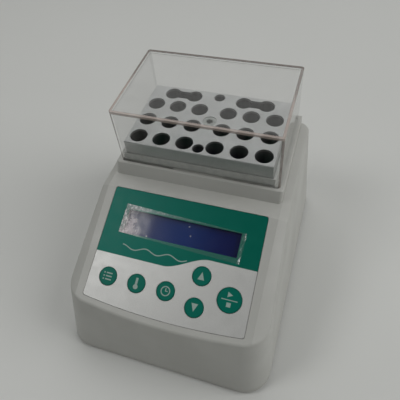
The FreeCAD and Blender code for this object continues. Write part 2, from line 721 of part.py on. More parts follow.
def socket_top():
    return BOARD_Z[1] + SOCKET_H


def tail_top():
    """Where the keypad's tail leaves the underside of the circuit."""
    return panel_placement(TAIL_S, -RECESS_DEPTH).Base


def ribbon_top():
    """Where the display's ribbon leaves the underside of its board, near the board's upper edge."""
    return panel_placement(LCD_S - LCD_BOARD[1] + 4, LCD_BOARD_H[0]).Base


def display_ribbon():
    """Flat ribbon that hangs straight from the display's board to its socket."""
    top = ribbon_top()
    return box(-RIBBON_HALF_W, RIBBON_HALF_W, top.y - 0.5, top.y + 0.5, socket_top(), top.z - 0.8)


def board_connectors():
    """Terminals for the leads at the board's back edge, and sockets for the keypad and the display."""
    back = TERMINAL_Y[1]
    front = TERMINAL_Y[0]
    terminals = [on_board(x0, x1, front, back, TERMINAL_H) for x0, x1 in TERMINAL_X]
    socket = TAIL_HALF_W + 1.5
    plug = RIBBON_HALF_W + 2
    sockets = [
        on_board(TAIL_X - socket, TAIL_X + socket, tail_top().y - 2, tail_top().y + 2, SOCKET_H),
        on_board(-plug, plug, ribbon_top().y - 2.5, ribbon_top().y + 2.5, SOCKET_H),
    ]
    return terminals + sockets


def board_capacitors():
    return [cylinder(*each, BOARD_Z[1]) for each in CAPACITORS]


def control_chip():
    return on_board(*CHIP)


def power_transistor():
    return on_board(*TRANSISTOR)


def heat_sink():
    """Finned aluminium sink behind the power transistor."""
    left, right, front, rear, height = SINK_BACK
    thickness, pitch, length, count = SINK_FIN
    fins = [on_board(x, x + thickness, rear, rear + length, height)
            for x in (left + pitch * k for k in range(count))]
    return fuse_all([on_board(left, right, front, rear, height)] + fins)


def buzzer():
    r, height, x, y = BUZZER
    can = cylinder(r, height, x, y, BOARD_Z[1])
    return can.cut(cylinder(1.0, 3, x, y, BOARD_Z[1] + height - 1.5))


# ---------------------------------------------------------------- leads
def lead(points, r):
    """Round lead along straight runs joined by tangent arcs."""
    edges = []
    start = points[0]
    for before, corner, after in zip(points, points[1:], points[2:]):
        to_before = (before - corner).normalize()
        to_after = (after - corner).normalize()
        a = corner + to_before * BEND_R
        b = corner + to_after * BEND_R
        middle = corner + (to_before + to_after) * BEND_R * (1 - math.sqrt(0.5))
        edges.append(line(start, a))
        edges.append(arc(a, middle, b))
        start = b
    edges.append(line(start, points[-1]))
    path = Part.Wire(edges)
    profile = Part.Wire(Part.makeCircle(r, points[0], points[1] - points[0]))
    return path.makePipeShell([profile], True, False)


def lead_pair(points, r=LEAD_R, half_gap=LEAD_PAIR):
    shift = Vector(half_gap, 0, 0)
    return [lead([p + shift * side for p in points], r) for side in (-1, 1)]


def terminal_way():
    """Middle of a terminal's depth, and its top."""
    return (TERMINAL_Y[0] + TERMINAL_Y[1]) / 2, BOARD_Z[1] + TERMINAL_H


def heater_leads():
    """Down out of the stack, forward under the carrier, and down into the terminal."""
    x, y = LEAD_PASS
    end_y, end_z = terminal_way()
    run_z = end_z + 8
    return lead_pair([Vector(x, y, MAT_Z[0]), Vector(x, y, run_z), Vector(x, end_y, run_z),
                      Vector(x, end_y, end_z)])


def sensor_leads():
    x, z = SENSOR_POS
    end_y, end_z = terminal_way()
    return lead_pair([Vector(x, SENSOR_SLEEVE_Y, z), Vector(x, end_y, z), Vector(x, end_y, end_z)], 0.6, 0.8)


def supply_leads():
    """Switch to board, inlet to switch, and inlet to board."""
    tab = SWITCH_BACK_Y - SWITCH_TAB
    z = SWITCH_Z
    live = lead([Vector(SWITCH_X + 5, tab, z), Vector(SWITCH_X + 5, TERMINAL_Y[1], z)], LEAD_R)
    x = INLET_X + 2.5
    link = lead([Vector(SWITCH_X - 5, tab, z), Vector(SWITCH_X - 5, tab - 12, z), Vector(x, tab - 12, z),
                 Vector(x, INLET_BACK_Y, z)], LEAD_R)
    back = lead([Vector(INLET_X - 2.5, INLET_BACK_Y, z), Vector(INLET_X - 2.5, TERMINAL_Y[1], z)], LEAD_R)
    return [live, link, back]


# ---------------------------------------------------------------- back panel
def hexagon(r, x, z, y0, y1):
    corners = [Vector(x + r * math.cos(math.radians(60 * k)), y0, z + r * math.sin(math.radians(60 * k)))
               for k in range(7)]
    return Part.Face(Part.makePolygon(corners)).extrude(Vector(0, y1 - y0, 0))


def power_inlet():
    back = Vector(0, 1, 0)
    barrel = cylinder(INLET_BARREL_R, INLET_FACE_Y - INLET_BACK_Y, INLET_X, INLET_BACK_Y, INLET_Z, back)
    flange = cylinder(INLET_BARREL_R + 1.8, 1.6, INLET_X, REAR_Y - WALL - 1.6, INLET_Z, back)
    bore = cylinder(INLET_BORE_R, 12, INLET_X, INLET_FACE_Y - 10, INLET_Z, back)
    pin = cylinder(INLET_PIN_R, 9.4, INLET_X, INLET_FACE_Y - 10.4, INLET_Z, back)
    return barrel.fuse(flange).cut(bore).fuse(pin)


def inlet_nut():
    nut = hexagon(NUT_R, INLET_X, INLET_Z, REAR_Y, REAR_Y + 1.8)
    return nut.cut(cylinder(INLET_BARREL_R + 0.05, 6, INLET_X, REAR_Y - 1, INLET_Z, Vector(0, 1, 0)))


def switch_box(half_w, half_h, y0, y1):
    return box(SWITCH_X - half_w, SWITCH_X + half_w, y0, y1, SWITCH_Z - half_h, SWITCH_Z + half_h)


def switch_body():
    hw, hh = SWITCH_BODY
    bw, bh = SWITCH_BEZEL
    body = switch_box(hw, hh, SWITCH_BACK_Y, REAR_Y)
    bezel = switch_box(bw, bh, REAR_Y, REAR_Y + SWITCH_BEZEL_T)
    cavity = switch_box(ROCKER[0] + 0.9, ROCKER[1] + 0.4, REAR_Y - 8, REAR_Y + 5)
    pivot_holes = pivot(PIVOT_R + PIVOT_GAP, PIVOT_REACH[1])
    tabs = [box(x - 1, x + 1, SWITCH_BACK_Y - SWITCH_TAB, SWITCH_BACK_Y, SWITCH_Z - 2.4, SWITCH_Z + 2.4)
            for x in (SWITCH_X - 5, SWITCH_X + 5)]
    return cut_all(fuse_all([body, bezel] + tabs), [cavity, pivot_holes])


def pivot(r, reach):
    """Upright pin through the rocker that runs past both its ends by reach."""
    half = ROCKER[1] + reach
    return cylinder(r, 2 * half, SWITCH_X, ROCKER_PIVOT_Y, SWITCH_Z - half)


def switch_rocker():
    """Shallow V-shaped rocker on an upright pivot, resting on its off side."""
    hw, hh = ROCKER
    mid = ROCKER_PIVOT_Y
    rise = math.tan(math.radians(ROCKER_TILT)) * hw
    front = REAR_Y + SWITCH_BEZEL_T - ROCKER_SINK
    face = [Vector(-hw, front - mid + rise, 0), Vector(0, front - mid, 0), Vector(hw, front - mid + rise, 0)]
    back = [Vector(x, y, 0) for x, y in ((hw - 0.8, -1.2), (2.5, -3.2), (-2.5, -3.2), (-hw + 0.8, -1.2))]
    points = face + back
    plan = Part.Face(Part.makePolygon(points + points[:1]))
    rocker = plan.extrude(Vector(0, 0, 2 * hh))
    rocker.translate(Vector(0, 0, -hh))
    rocker.rotate(Vector(0, 0, 0), Vector(0, 0, 1), ROCKER_TILT)
    rocker.translate(Vector(SWITCH_X, mid, SWITCH_Z))
    return rocker.fuse(pivot(PIVOT_R, PIVOT_REACH[0])).removeSplitter()


# ---------------------------------------------------------------- clear cover
def lid():
    z0 = PLINTH_TOP_Z
    y0, y1 = LID_Y
    d = LID_DRAFT
    outside = tapered_box(LID_HALF_W - d, y0 + d, y1 - d, z0, LID_TOP_Z, LID_CORNER_R, d)
    w = LID_WALL
    inside = tapered_box(LID_HALF_W - d - w, y0 + d + w, y1 - d - w, z0, LID_TOP_Z - w, 0.5, d)
    cover = outside.cut(inside)
    cover.translate(Vector(LID_X, 0, 0))
    return cover


PARTS = {
    "upper_housing": upper_housing,
    "base_tray": base_tray,
    "rubber_feet": rubber_feet,
    "housing_screws": housing_screws,
    "control_overlay": control_overlay,
    "keypad_spacer": keypad_spacer,
    "keypad_circuit": keypad_circuit,
    "keypad_tail": keypad_tail,
    "display_window": display_window,
    "display_film": display_film,
    "lcd_bezel": lcd_bezel,
    "lcd_glass": lcd_glass,
    "lcd_backlight": lcd_backlight,
    "lcd_board": lcd_board,
    "lcd_screws": lcd_screws,
    "display_ribbon": display_ribbon,
    "heating_block": heating_block,
    "block_screw": block_screw,
    "seat_frame": seat_frame,
    "heater_plate": heater_plate,
    "heater_mat": heater_mat,
    "heater_insulation": heater_insulation,
    "heater_carrier": heater_carrier,
    "carrier_screws": carrier_screws,
    "temperature_sensor": temperature_sensor,
    "thermal_cutout": thermal_cutout,
    "main_board": main_board,
    "board_screws": board_screws,
    "board_connectors": board_connectors,
    "board_capacitors": board_capacitors,
    "control_chip": control_chip,
    "power_transistor": power_transistor,
    "heat_sink": heat_sink,
    "buzzer": buzzer,
    "heater_leads": heater_leads,
    "sensor_leads": sensor_leads,
    "supply_leads": supply_leads,
    "power_inlet": power_inlet,
    "inlet_nut": inlet_nut,
    "switch_body": switch_body,
    "switch_rocker": switch_rocker,
    "lid": lid,
}


os.makedirs("parts", exist_ok=True)
for node, make in PARTS.items():
    made = make()
    shape = Part.Compound(made) if isinstance(made, list) else made
    shape.exportStep("parts/" + node + ".step")
for name, x, s, r in KEYS:
    key_cap(x, s, r).exportStep("parts/" + name + ".step")
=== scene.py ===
import json
import math

import bmesh
import bpy
from mathutils import Euler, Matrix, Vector, noise


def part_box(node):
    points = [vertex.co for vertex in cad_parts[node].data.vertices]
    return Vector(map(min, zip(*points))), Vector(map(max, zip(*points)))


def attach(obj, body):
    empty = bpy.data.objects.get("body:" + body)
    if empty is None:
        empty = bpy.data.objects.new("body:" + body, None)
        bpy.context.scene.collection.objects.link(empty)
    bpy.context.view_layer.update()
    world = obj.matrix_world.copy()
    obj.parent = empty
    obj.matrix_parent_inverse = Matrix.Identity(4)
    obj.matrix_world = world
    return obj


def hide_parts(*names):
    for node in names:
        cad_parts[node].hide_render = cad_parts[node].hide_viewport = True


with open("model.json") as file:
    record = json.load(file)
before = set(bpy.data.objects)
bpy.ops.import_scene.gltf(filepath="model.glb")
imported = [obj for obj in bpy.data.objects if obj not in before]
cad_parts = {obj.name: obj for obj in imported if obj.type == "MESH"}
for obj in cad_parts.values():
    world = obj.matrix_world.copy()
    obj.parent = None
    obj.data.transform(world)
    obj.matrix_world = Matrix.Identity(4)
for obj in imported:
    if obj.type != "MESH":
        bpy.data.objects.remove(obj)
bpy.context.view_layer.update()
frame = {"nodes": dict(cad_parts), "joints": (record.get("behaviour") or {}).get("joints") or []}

parts = frame["nodes"]


# ---------------------------------------------------------------- base tray
# The tray that closes the instrument from below, injection-moulded in white ABS with a spark-eroded
# texture. Its vents and screw wells are moulded in, and it is screwed up into the housing's posts.
TRAY_WHITE = (0.50, 0.50, 0.47)
TRAY_SHADE = (0.45, 0.45, 0.42)


class Value:
    """A shader socket that can be used in ordinary arithmetic."""

    def __init__(self, finish, socket):
        self.finish = finish
        self.socket = socket

    def math(self, operation, *terms):
        return self.finish.node("Math", {"operation": operation}, dict(enumerate(terms)))

    def __add__(self, other):
        return self.math("ADD", self, other)

    def __radd__(self, other):
        return self.math("ADD", other, self)

    def __sub__(self, other):
        return self.math("SUBTRACT", self, other)

    def __rsub__(self, other):
        return self.math("SUBTRACT", other, self)

    def __mul__(self, other):
        return self.math("MULTIPLY", self, other)

    def __rmul__(self, other):
        return self.math("MULTIPLY", other, self)

    def __pow__(self, other):
        return self.math("POWER", self, other)

    def __neg__(self):
        return self.math("MULTIPLY", self, -1.0)

    def __abs__(self):
        return self.math("ABSOLUTE", self)

    def least(self, other):
        return self.math("MINIMUM", self, other)

    def most(self, other):
        return self.math("MAXIMUM", self, other)

    def wave(self):
        return self.math("SINE", self)

    def repeat(self, pitch):
        """Distance from the middle of the nearest of many equal strips."""
        return abs(self.math("WRAP", self, pitch / 2, -pitch / 2))

    def rise(self, low, high, to_low=0.0, to_high=1.0):
        """A smooth step: to_low below low, to_high above high."""
        ends = {0: self, 1: low, 2: high, 3: to_low, 4: to_high}
        return self.finish.node("MapRange", {"interpolation_type": "SMOOTHSTEP"}, ends)


class Finish:
    """One material: its surface shader, and the nodes that vary it over a piece."""

    def __init__(self, name, **fixed):
        self.material = bpy.data.materials.new(name)
        self.material.use_nodes = True
        self.tree = self.material.node_tree
        self.surface = self.tree.nodes["Principled BSDF"]
        self.set(**fixed)
        self.place = self.node("TexCoord", {}, {}, "Object")

    def node(self, kind, settings, inputs, output=0):
        """Any other node: its type, its settings, what its sockets get, and the output to use."""
        n = self.tree.nodes.new("ShaderNode" + kind)
        for name, setting in settings.items():
            setattr(n, name, setting)
        for name, value in inputs.items():
            self.plug(n.inputs[name], value)
        return Value(self, n.outputs[output])

    def plug(self, socket, value):
        """Links or sets one socket. Colours are given as three numbers."""
        if isinstance(value, Value):
            self.tree.links.new(value.socket, socket)
        else:
            socket.default_value = (*value, 1.0) if socket.type == "RGBA" else value

    def set(self, **sockets):
        """Sockets of the surface shader, with _ for the spaces in their names."""
        for name, value in sockets.items():
            self.plug(self.surface.inputs[name.replace("_", " ")], value)
        return self

    def millimetres(self):
        """Where a point is on the instrument, as three numbers in millimetres."""
        scaled = self.node("VectorMath", {"operation": "SCALE"}, {"Vector": self.place, "Scale": 1000.0})
        return tuple(self.node("SeparateXYZ", {}, {0: scaled}, axis) for axis in ("X", "Y", "Z"))

    def speckle(self, size, detail=2.0, stretch=(1.0, 1.0, 1.0)):
        """Noise whose spots are about size across, in metres."""
        at = self.node("VectorMath", {"operation": "MULTIPLY"}, {0: self.place, 1: stretch})
        return self.node("TexNoise", {}, {"Vector": at, "Scale": 1.0 / size, "Detail": detail})

    def grains(self, scale, randomness=1.0, feature="F1", output=0):
        """Voronoi cells, scale of them to the metre."""
        inputs = {"Vector": self.place, "Scale": scale, "Randomness": randomness}
        return self.node("TexVoronoi", {"feature": feature}, inputs, output)

    def blend(self, mask, without, within):
        """One colour turning into another where the mask is 1."""
        return self.node("Mix", {"data_type": "RGBA"}, {0: mask, 6: without, 7: within}, 2)

    def relief(self, height, depth):
        """Bumps depth metres high."""
        bump = self.node("Bump", {}, {"Height": height, "Distance": depth, "Strength": 1.0})
        return self.set(Normal=bump)

    def on(self, *names):
        """Gives the finish to pieces that keep their shape."""
        for name in names:
            for place in parts[name].material_slots:
                place.material = self.material
        return self


def moulded(name, pale, dull, grain, depth, gloss=(0.42, 0.56)):
    """Moulded plastic: faint clouding, a sparked grain, and a sheen that varies with handling."""
    plastic = Finish(name)
    cloud = plastic.speckle(0.03, 4.0)
    fine = plastic.speckle(grain, 3.0)
    plastic.set(Base_Color=plastic.blend(cloud.rise(0.3, 0.7) * 0.7 + fine * 0.3, pale, dull))
    plastic.set(Roughness=cloud.rise(0.25, 0.75, *gloss))
    return plastic.relief(fine, depth)


moulded("tray_white", TRAY_WHITE, TRAY_SHADE, 0.0006, 0.00005).on("base_tray")


# ---------------------------------------------------------------- rubber feet
# Four stepped feet of black rubber, glued into rings on the tray. Their faces pick up grey bench dust,
# most of it low down where they rub.
DUST_Z = (0.2, 2.2)

rubber = Finish("foot_rubber", Specular_IOR_Level=0.35)
x, y, z = rubber.millimetres()
dust = rubber.speckle(0.002, 4.0).rise(0.45, 0.7) * z.rise(*DUST_Z, 1.0, 0.25)
rubber.set(Base_Color=rubber.blend(dust, (0.018, 0.018, 0.018), (0.12, 0.115, 0.105)))
rubber.set(Roughness=dust.rise(0, 1, 0.6, 0.9)).relief(rubber.speckle(0.0005), 0.00006).on("rubber_feet")


# ---------------------------------------------------------------- main board
# The controller: a green lacquered circuit board on four posts, with copper tracks under the lacquer.
# Its chip, capacitors, buzzer, transistor, heat sink and terminal blocks are soldered to it.
TRACK_PITCH = (2.4, 3.1)          # of the tracks along y and along x
TRACK_HALF_W = (0.28, 0.42)       # where a track's edge starts and ends

board = Finish("board_green", Roughness=0.28, Coat_Weight=0.4, Coat_Roughness=0.15)
x, y, z = board.millimetres()
wander = board.speckle(0.012, 1.0) * 6.0
district = board.speckle(0.018, 0.0)
along = (x + wander).repeat(TRACK_PITCH[0]).rise(*TRACK_HALF_W, 1.0, 0.0) * district.rise(0.47, 0.52)
across = (y - wander).repeat(TRACK_PITCH[1]).rise(*TRACK_HALF_W, 1.0, 0.0) * district.rise(0.53, 0.48)
tracks = along.most(across)
pads = board.grains(320.0, 0.35).rise(0.16, 0.2, 1.0, 0.0) * board.speckle(0.009, 0.0).rise(0.5, 0.55)
lacquer = board.blend(tracks, (0.006, 0.085, 0.035), (0.02, 0.16, 0.07))
board.set(Base_Color=board.blend(pads, lacquer, (0.55, 0.54, 0.50)), Metallic=pads * 0.9)
board.relief(tracks + pads, 0.00005).on("main_board", "lcd_board")

CAN_TOP_Z = (31.2, 31.4)          # the sleeve ends here, and the bare can shows above
STRIPE_X = (28.9, 29.2)           # the pale stripe on each sleeve ends here

sleeve = Finish("capacitor_sleeve", Roughness=0.4)
x, y, z = sleeve.millimetres()
top = z.rise(*CAN_TOP_Z)
stripe = x.rise(*STRIPE_X, 1.0, 0.0) * (1 - top)
dark = sleeve.blend(sleeve.speckle(0.004), (0.012, 0.012, 0.016), (0.03, 0.03, 0.036))
marked = sleeve.blend(stripe, dark, (0.35, 0.36, 0.38))
sleeve.set(Base_Color=sleeve.blend(top, marked, (0.62, 0.62, 0.62)), Metallic=top)
sleeve.relief(sleeve.speckle(0.0008), 0.00002).on("board_capacitors")

epoxy = Finish("chip_epoxy")
grit = epoxy.speckle(0.0003, 4.0)
epoxy.set(Base_Color=epoxy.blend(grit, (0.012, 0.012, 0.012), (0.035, 0.035, 0.035)))
epoxy.set(Roughness=grit.rise(0.3, 0.7, 0.45, 0.7)).relief(grit, 0.00003)
epoxy.on("control_chip", "power_transistor", "buzzer", "thermal_cutout")

terminals = moulded("connector_green", (0.02, 0.26, 0.07), (0.015, 0.19, 0.05), 0.0005, 0.00002)
terminals.on("board_connectors")


def machined(name, pale, dull, lay, grain, depth, gloss):
    """Bare metal with the fine lines that its machining left; lay is short along the lines."""
    metal = Finish(name)
    lines = metal.speckle(grain, 3.0, lay)
    cloud = metal.speckle(0.015, 3.0)
    metal.set(Base_Color=metal.blend(lines * 0.6 + cloud * 0.4, pale, dull))
    metal.set(Metallic=cloud.rise(0.2, 0.8, 0.97, 0.9))
    metal.set(Roughness=(lines * 0.5 + cloud * 0.5).rise(0.3, 0.7, *gloss))
    return metal.relief(lines, depth)


extruded = machined("extruded_aluminium", (0.72, 0.72, 0.72), (0.58, 0.58, 0.59),
                    (1, 1, 0.05), 0.0004, 0.00002, (0.25, 0.4))
extruded.on("heat_sink")
steel = machined("plated_steel", (0.66, 0.66, 0.64), (0.48, 0.48, 0.46),
                 (1, 1, 1), 0.0007, 0.00001, (0.18, 0.4))
steel.on("board_screws", "lcd_screws", "carrier_screws", "housing_screws")
steel.on("inlet_nut", "lcd_bezel", "temperature_sensor")


# ---------------------------------------------------------------- leads and ribbon
# Silicone-insulated leads, tinned and screwed into the terminal blocks, and the display's flat ribbon,
# whose conductors show as ridges with the first one marked in red.
silicone_lead = Finish("lead_red", Roughness=0.5, Specular_IOR_Level=0.4)
chalk = silicone_lead.speckle(0.003, 4.0)
red = silicone_lead.blend(chalk.rise(0.4, 0.75), (0.34, 0.012, 0.012), (0.40, 0.07, 0.06))
silicone_lead.set(Base_Color=red)
silicone_lead.relief(chalk, 0.00003).on("heater_leads", "sensor_leads", "supply_leads")

CORE_PITCH = 1.27
FIRST_CORE_X = (-14.9, -14.7)

ribbon = Finish("ribbon_grey", Roughness=0.45)
x, y, z = ribbon.millimetres()
cores = x.repeat(CORE_PITCH).rise(0.15, 0.62, 1.0, 0.0)
first = x.rise(*FIRST_CORE_X, 1.0, 0.0)
grey = ribbon.blend(cores, (0.20, 0.20, 0.21), (0.36, 0.36, 0.37))
ribbon.set(Base_Color=ribbon.blend(first, grey, (0.4, 0.03, 0.03)))
ribbon.relief(cores, 0.0003).on("display_ribbon")


# ---------------------------------------------------------------- heater stack
# A galvanised sheet carries a silicone foam well, with an etched-foil heater mat, an aluminium plate and
# the probe inside. Screws hold it to posts under the deck, and the block drops in from above.
zinc = Finish("zinc_sheet", Metallic=1.0)
tone = zinc.node("SeparateColor", {}, {0: zinc.grains(140.0, output="Color")})
zinc.set(Base_Color=zinc.blend(tone, (0.45, 0.47, 0.49), (0.66, 0.68, 0.70)))
zinc.set(Roughness=tone.rise(0, 1, 0.3, 0.5)).relief(tone, 0.00002).on("heater_carrier")

foam = Finish("insulation_foam", Roughness=0.85, Specular_IOR_Level=0.2)
cells = foam.grains(900.0, feature="DISTANCE_TO_EDGE")
foam.set(Base_Color=foam.blend(cells.rise(0.0, 0.25), (0.30, 0.28, 0.25), (0.55, 0.53, 0.48)))
foam.relief(cells, 0.0002).on("heater_insulation")

mat = Finish("heater_silicone", Roughness=0.55)
x, y, z = mat.millimetres()
THREAD = 6.0                      # waves of the glass cloth, in radians to the millimetre
weave = ((x * THREAD).wave() * (y * THREAD).wave()).rise(-0.6, 0.6)
mat.set(Base_Color=mat.blend(weave, (0.42, 0.10, 0.03), (0.55, 0.16, 0.05)))
mat.relief(weave, 0.0001).on("heater_mat")

rolled = machined("rolled_plate", (0.70, 0.70, 0.70), (0.55, 0.55, 0.56),
                  (1, 0.04, 1), 0.0003, 0.00001, (0.3, 0.45))
rolled.on("heater_plate")


# ---------------------------------------------------------------- upper housing
# One ABS moulding: a wedge with rounded shoulders, a recessed sloping panel and a raised plinth for the
# block. It is a warm white with a fine matt grain, faintly scuffed, and darker grey towards its foot.
HOUSING_WHITE = (0.51, 0.51, 0.48)
HOUSING_SHADE = (0.46, 0.46, 0.43)
FOOT_GREY = (0.33, 0.32, 0.29)
SCUFFED_Z = (8, 30)               # scuffs thin out from the lower to the upper height
DARKER_Z = (3.0, 7.0)

housing = moulded("housing_white", HOUSING_WHITE, HOUSING_SHADE, 0.00045, 0.00003, (0.38, 0.5))
x, y, z = housing.millimetres()
scuff = housing.speckle(0.0012, 6.0, (1.0, 0.12, 1.0)).rise(0.66, 0.8) * z.rise(*SCUFFED_Z, 0.5, 0.12)
# Darker towards the foot, and a little darker where scuffed.
foot_darkening_and_scuffs = z.rise(*DARKER_Z, 0.35, 0.0) + scuff * 0.2
skin = Value(housing, housing.surface.inputs["Base Color"].links[0].from_socket)
housing.set(Base_Color=housing.blend(foot_darkening_and_scuffs, skin, FOOT_GREY)).on("upper_housing")


# ---------------------------------------------------------------- display module
# A character display: glass on a light guide inside a tin bezel that is bent over the board. Switched
# off, the blue filter looks navy with a trace of its cell grid, and painted light makes it brighter in the
# middle.
CELL_PITCH = 0.6
# Centre of the painted light on the display, in millimetres across.
PAINTED_LIGHT_X = -4.0

crystal = Finish("lcd_blue", Specular_IOR_Level=0.1)
x, y, z = crystal.millimetres()
grid = x.repeat(CELL_PITCH).rise(0.24, 0.29) * 0.25
bloom = crystal.speckle(0.03, 2.0)
# Painted light: the navy turns lighter towards this point across the display.
painted_light_middle = abs(x - PAINTED_LIGHT_X).rise(4.0, 34.0, 1.0, 0.0)
deep = crystal.blend(painted_light_middle, (0.003, 0.008, 0.085), (0.006, 0.030, 0.16))
crystal.set(Base_Color=crystal.blend(grid * bloom, deep, (0.03, 0.06, 0.24)))
crystal.set(Roughness=bloom.rise(0, 1, 0.12, 0.25)).on("lcd_glass")

DOT_PITCH = 0.8

guide = Finish("backlight", Roughness=0.5)
x, y, z = guide.millimetres()
dots = x.repeat(DOT_PITCH).rise(0.1, 0.2, 1.0, 0.0) * y.repeat(DOT_PITCH).rise(0.1, 0.2, 1.0, 0.0)
guide.set(Base_Color=guide.blend(dots, (0.30, 0.36, 0.55), (0.6, 0.66, 0.8))).relief(dots, 0.00005)
guide.on("lcd_backlight")


# ---------------------------------------------------------------- keypad
# A membrane keypad in the sloping recess: circuit and spacer films, then a polyester overlay printed
# from behind in green over silver grey. Each key is a domed disc that clicks down a third of a
# millimetre.
press = next(j for j in frame["joints"] if j["name"] == "key_up_press")["axis"]
TILT = math.atan2(press[1], -press[2])
OVERLAY_T = 0.0005
overlay_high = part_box("control_overlay")[1]
PANEL_Y = (overlay_high.y - OVERLAY_T * math.sin(TILT)) * 1000
PANEL_Z = overlay_high.z * 1000
# The two greens are the overlay's tones and also the ends of a painted light across the panel.
GREEN_DEEP_PAINTED_SHADE = (0.0, 0.110, 0.074)
GREEN_PALE_PAINTED_LIGHT = (0.003, 0.180, 0.138)
KEY_GREEN = (0.0, 0.145, 0.103)
KEY_RIM_GREEN = (0.0, 0.115, 0.082)
KEY_RIM_W = 1.1
INK = (0.42, 0.50, 0.46)
GREEN_EDGE = (41.65, 32.15)       # the green ends this far down the panel, on the left and on the right
SWEEP_X = (-6.0, 21.5)            # between these its edge sweeps from one to the other
TITLE = (-13.0, 35.6)             # middle of the wavy line, across and down the panel
TITLE_HALF_W = 21.0
TITLE_HALF_LINE = 0.32
TITLE_WAVE = (0.42, 1.1)          # radians to the millimetre, and height


def down_panel(y, z):
    """Millimetres down the slope from the overlay's top edge, of shader or plain numbers."""
    return (PANEL_Y - y) * math.cos(TILT) + (PANEL_Z - z) * math.sin(TILT)


def panel_point(x, s, height):
    """Point x across and s down the panel, all in millimetres, as metres on the instrument."""
    y = PANEL_Y - s * math.cos(TILT) - height * math.sin(TILT)
    z = PANEL_Z - s * math.sin(TILT) + height * math.cos(TILT)
    return Vector((x, y, z)) / 1000


def inside(distance, soft=0.12):
    """Mask of a printed shape from the distance outside its edge, in millimetres."""
    return distance.rise(-soft, soft, 1.0, 0.0)


def bar(u, v, half_w, half_h):
    """Distance outside a rectangle's edge."""
    return (abs(u) - half_w).most(abs(v) - half_h)


def disc(u, v, r):
    """Distance outside a circle's edge."""
    return (u * u + v * v) ** 0.5 - r


def arrowhead(u, v, half_w, half_h):
    """Distance outside a triangle that points up."""
    slope = half_w / (2 * half_h)
    return (abs(u) - (half_h - v) * slope).most(-half_h - v)


clear = Finish("keypad_film", Roughness=0.2, IOR=1.5)
haze = clear.speckle(0.004, 3.0)
clear.set(Base_Color=clear.blend(haze, (0.62, 0.65, 0.62), (0.75, 0.77, 0.75)))
clear.set(Alpha=haze.rise(0.3, 0.7, 0.75, 0.9)).on("keypad_circuit", "keypad_spacer", "keypad_tail")

overlay = Finish("overlay_print", Specular_IOR_Level=0.12)
x, y, z = overlay.millimetres()
s = down_panel(y, z)
green = inside(s - x.rise(*SWEEP_X, *GREEN_EDGE), 0.15)
mottle = overlay.speckle(0.006, 3.0)
grain = overlay.speckle(0.00025, 2.0)
# Painted light: the green lightens towards the panel's left end and darkens to the right, with random
# mottle over it.
lacquer = overlay.blend(x.rise(-48, 48, 0.65, 0.1) + mottle * 0.2, GREEN_DEEP_PAINTED_SHADE, GREEN_PALE_PAINTED_LIGHT)
silver = overlay.blend(grain.rise(0.3, 0.7), (0.60, 0.60, 0.58), (0.68, 0.68, 0.66))
wavy = s - TITLE[1] - (x * TITLE_WAVE[0]).wave() * TITLE_WAVE[1]
within = abs(x - TITLE[0]).rise(TITLE_HALF_W - 0.4, TITLE_HALF_W, 1.0, 0.0)
title = inside(abs(wavy) - TITLE_HALF_LINE) * within
print_colour = overlay.blend(title * 0.75, overlay.blend(green, silver, lacquer), INK)
overlay.set(Base_Color=print_colour, Metallic=(1 - green) * 0.6)
overlay.set(Roughness=mottle.rise(0.3, 0.7, 0.3, 0.38) + (1 - green) * 0.14)
overlay.relief(grain + green * 0.4, 0.000012).on("control_overlay")


def key_print(name, symbol):
    """Finish for one key: green lacquer, darker and softer at the rim, with a pale symbol."""
    low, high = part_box(name)
    centre = (low + high) * 500
    radius = (high.x - low.x) * 500
    cap = Finish(name + "_print", Specular_IOR_Level=0.14)
    x, y, z = cap.millimetres()
    u = x - centre.x
    v = down_panel(centre.y, centre.z) - down_panel(y, z)
    rim = disc(u, v, radius).rise(-KEY_RIM_W, 0.0)
    fleck = cap.speckle(0.0005, 2.0)
    body = cap.blend(rim, KEY_GREEN, KEY_RIM_GREEN)
    cap.set(Base_Color=cap.blend(inside(symbol(u, v)) * fleck.rise(0.2, 0.6, 0.6, 0.85), body, INK))
    cap.set(Roughness=fleck.rise(0.3, 0.7, 0.3, 0.4)).relief(fleck, 0.00001).on(name)


# Each symbol is a distance outside its edge, with u across the key and v up the panel, in millimetres.
def list_symbol(u, v):
    rows = bar(u - 0.6, v.repeat(1.9), 1.9, 0.36).least(bar(u + 2.5, v.repeat(1.9), 0.4, 0.4))
    return rows.most(abs(v) - 2.6)


def thermometer_symbol(u, v):
    return bar(u, v - 1.0, 0.7, 2.3).least(disc(u, v + 2.0, 1.45))


def clock_symbol(u, v):
    face = abs(disc(u, v, 2.6)) - 0.3
    return face.least(bar(u, v - 0.8, 0.26, 0.9)).least(bar(u - 0.6, v, 0.75, 0.26))


def up_symbol(u, v):
    return arrowhead(u, v - 0.1, 2.0, 2.3)


def down_symbol(u, v):
    return arrowhead(u, -v + 0.1, 2.0, 2.3)


def start_stop_symbol(u, v):
    play = arrowhead(-v + 2.9, u, 1.5, 1.5)
    stop = bar(u, v + 2.7, 1.25, 1.25)
    return play.least(stop).least(bar(u, v, 4.7, 0.24))


key_print("key_program", list_symbol)
key_print("key_temperature", thermometer_symbol)
key_print("key_timer", clock_symbol)
key_print("key_up", up_symbol)
key_print("key_down", down_symbol)
key_print("key_start_stop", start_stop_symbol)


# ---------------------------------------------------------------- display window and its film
# A polycarbonate window flush with the overlay, still under its thin protective film. The film was laid
# on a little crooked and has lifted in fine creases at both ends, and a pale pink painted glare lies over
# its left part.
WINDOW_HALF_W = 35.9
WINDOW_HALF_H = 7.3


def glazing(name):
    """Clear plastic: its material, and how much it mirrors where it is seen aslant."""
    glass = Finish(name)
    facing = glass.node("LayerWeight", {}, {"Blend": 0.5}, "Facing")
    return glass, facing ** 5.0


